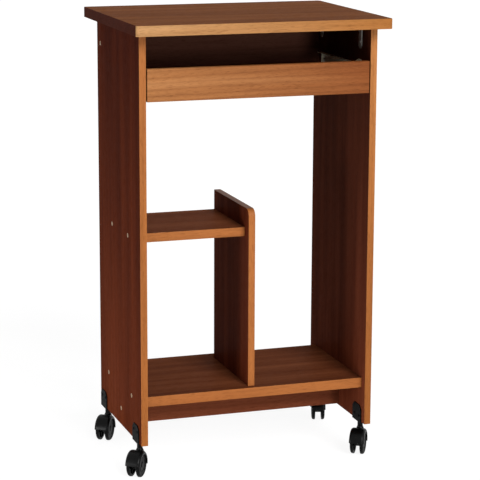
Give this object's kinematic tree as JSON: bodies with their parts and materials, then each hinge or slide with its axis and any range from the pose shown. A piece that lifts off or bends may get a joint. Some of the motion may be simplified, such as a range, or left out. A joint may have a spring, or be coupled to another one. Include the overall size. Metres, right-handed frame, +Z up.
{
  "type": "computer desk",
  "caption": "Narrow rolling computer desk of laminated board with an overhanging top, a keyboard tray on roller runners, a half shelf on a divider, a bottom shelf and swivel casters.",
  "frame": {"origin": "on the floor plane, under the middle of the desk top", "axes": "+X to the right as seen from the front, +Y to the back, +Z up"},
  "size_m": [0.4738, 0.36, 0.8],
  "materials": {
    "dark_laminate": "satin red-brown woodgrain laminate",
    "light_edging": "satin light brown edge strip",
    "fascia_veneer": "satin light brown woodgrain laminate",
    "zinc_steel": "zinc plated",
    "cream_steel": "cream epoxy coat",
    "nylon": "natural nylon",
    "beech": "bare beech",
    "black_steel": "black powder coat",
    "caster_plastic": "moulded black nylon",
    "wheel_plastic": "moulded black nylon"
  },
  "bodies": {
    "desk_frame": {"top_board": "dark_laminate", "top_edging": "light_edging", "left_side_panel": "dark_laminate", "left_side_edging": "light_edging", "right_side_panel": "dark_laminate", "right_side_edging": "light_edging", "back_rail": "dark_laminate", "kick_rail": "dark_laminate", "bottom_shelf": "dark_laminate", "bottom_shelf_edging": "light_edging", "divider_panel": "dark_laminate", "divider_edging": "light_edging", "half_shelf": "dark_laminate", "half_shelf_edging": "light_edging", "connector_screws": "zinc_steel", "top_dowels": "beech", "top_angle_brackets": "zinc_steel", "angle_bracket_screws": "zinc_steel", "left_cabinet_runner": "cream_steel", "right_cabinet_runner": "cream_steel", "cabinet_runner_screws": "zinc_steel", "front_left_bracket": "black_steel", "front_left_stem": "zinc_steel", "front_right_bracket": "black_steel", "front_right_stem": "zinc_steel", "rear_left_bracket": "black_steel", "rear_left_stem": "zinc_steel", "rear_right_bracket": "black_steel", "rear_right_stem": "zinc_steel", "caster_bracket_screws": "black_steel"},
    "keyboard_tray": {"tray_board": "dark_laminate", "tray_fascia": "fascia_veneer", "fascia_edging": "light_edging", "fascia_brackets": "zinc_steel", "fascia_bracket_screws": "zinc_steel", "left_tray_runner": "cream_steel", "right_tray_runner": "cream_steel", "tray_runner_screws": "zinc_steel"},
    "left_cabinet_roller": {"left_cabinet_roller": "nylon"},
    "left_tray_roller": {"left_tray_roller": "nylon"},
    "right_cabinet_roller": {"right_cabinet_roller": "nylon"},
    "right_tray_roller": {"right_tray_roller": "nylon"},
    "front_left_caster": {"front_left_hood": "caster_plastic", "front_left_axle": "zinc_steel"},
    "front_left_inner_wheel": {"front_left_inner_wheel": "wheel_plastic"},
    "front_left_outer_wheel": {"front_left_outer_wheel": "wheel_plastic"},
    "front_right_caster": {"front_right_hood": "caster_plastic", "front_right_axle": "zinc_steel"},
    "front_right_inner_wheel": {"front_right_inner_wheel": "wheel_plastic"},
    "front_right_outer_wheel": {"front_right_outer_wheel": "wheel_plastic"},
    "rear_left_caster": {"rear_left_hood": "caster_plastic", "rear_left_axle": "zinc_steel"},
    "rear_left_inner_wheel": {"rear_left_inner_wheel": "wheel_plastic"},
    "rear_left_outer_wheel": {"rear_left_outer_wheel": "wheel_plastic"},
    "rear_right_caster": {"rear_right_hood": "caster_plastic", "rear_right_axle": "zinc_steel"},
    "rear_right_inner_wheel": {"rear_right_inner_wheel": "wheel_plastic"},
    "rear_right_outer_wheel": {"rear_right_outer_wheel": "wheel_plastic"}
  },
  "joints": [
    {"name": "tray_slide", "type": "slide", "parent": "desk_frame", "child": "keyboard_tray", "axis": [0, -1, 0], "range_m": [0, 0.128]},
    {"name": "left_cabinet_roller_spin", "type": "hinge", "parent": "desk_frame", "child": "left_cabinet_roller", "pos_m": [-0.198, -0.114, 0.7], "axis": [1, 0, 0], "range_deg": [-5, 760]},
    {"name": "left_tray_roller_spin", "type": "hinge", "parent": "keyboard_tray", "child": "left_tray_roller", "pos_m": [-0.198, 0.036, 0.7], "axis": [1, 0, 0], "range_deg": [-5, 760]},
    {"name": "right_cabinet_roller_spin", "type": "hinge", "parent": "desk_frame", "child": "right_cabinet_roller", "pos_m": [0.198, -0.114, 0.7], "axis": [1, 0, 0], "range_deg": [-5, 760]},
    {"name": "right_tray_roller_spin", "type": "hinge", "parent": "keyboard_tray", "child": "right_tray_roller", "pos_m": [0.198, 0.036, 0.7], "axis": [1, 0, 0], "range_deg": [-5, 760]},
    {"name": "front_left_swivel", "type": "hinge", "parent": "desk_frame", "child": "front_left_caster", "pos_m": [-0.21, -0.11, 0.05], "axis": [0, 0, 1], "continuous": true},
    {"name": "front_left_inner_wheel_spin", "type": "hinge", "parent": "front_left_caster", "child": "front_left_inner_wheel", "pos_m": [-0.22032, -0.12474, 0.0225], "axis": [0.8192, -0.5736, 0], "continuous": true},
    {"name": "front_left_outer_wheel_spin", "type": "hinge", "parent": "front_left_caster", "child": "front_left_outer_wheel", "pos_m": [-0.22032, -0.12474, 0.0225], "axis": [0.8192, -0.5736, 0], "continuous": true},
    {"name": "front_right_swivel", "type": "hinge", "parent": "desk_frame", "child": "front_right_caster", "pos_m": [0.21, -0.11, 0.05], "axis": [0, 0, 1], "continuous": true},
    {"name": "front_right_inner_wheel_spin", "type": "hinge", "parent": "front_right_caster", "child": "front_right_inner_wheel", "pos_m": [0.20046, -0.12526, 0.0225], "axis": [0.848, -0.5299, 0], "continuous": true},
    {"name": "front_right_outer_wheel_spin", "type": "hinge", "parent": "front_right_caster", "child": "front_right_outer_wheel", "pos_m": [0.20046, -0.12526, 0.0225], "axis": [0.848, -0.5299, 0], "continuous": true},
    {"name": "rear_left_swivel", "type": "hinge", "parent": "desk_frame", "child": "rear_left_caster", "pos_m": [-0.21, 0.11, 0.05], "axis": [0, 0, 1], "continuous": true},
    {"name": "rear_left_inner_wheel_spin", "type": "hinge", "parent": "rear_left_caster", "child": "rear_left_inner_wheel", "pos_m": [-0.2198, 0.0949, 0.0225], "axis": [0.8387, -0.5446, 0], "continuous": true},
    {"name": "rear_left_outer_wheel_spin", "type": "hinge", "parent": "rear_left_caster", "child": "rear_left_outer_wheel", "pos_m": [-0.2198, 0.0949, 0.0225], "axis": [0.8387, -0.5446, 0], "continuous": true},
    {"name": "rear_right_swivel", "type": "hinge", "parent": "desk_frame", "child": "rear_right_caster", "pos_m": [0.21, 0.11, 0.05], "axis": [0, 0, 1], "continuous": true},
    {"name": "rear_right_inner_wheel_spin", "type": "hinge", "parent": "rear_right_caster", "child": "rear_right_inner_wheel", "pos_m": [0.20444, 0.09288, 0.0225], "axis": [0.9511, -0.309, 0], "continuous": true},
    {"name": "rear_right_outer_wheel_spin", "type": "hinge", "parent": "rear_right_caster", "child": "rear_right_outer_wheel", "pos_m": [0.20444, 0.09288, 0.0225], "axis": [0.9511, -0.309, 0], "continuous": true}
  ],
  "couplings": [
    {"joint": "left_cabinet_roller_spin", "follows": "tray_slide", "rad_per_m": 100},
    {"joint": "left_tray_roller_spin", "follows": "tray_slide", "rad_per_m": 100},
    {"joint": "right_cabinet_roller_spin", "follows": "tray_slide", "rad_per_m": 100},
    {"joint": "right_tray_roller_spin", "follows": "tray_slide", "rad_per_m": 100}
  ]
}
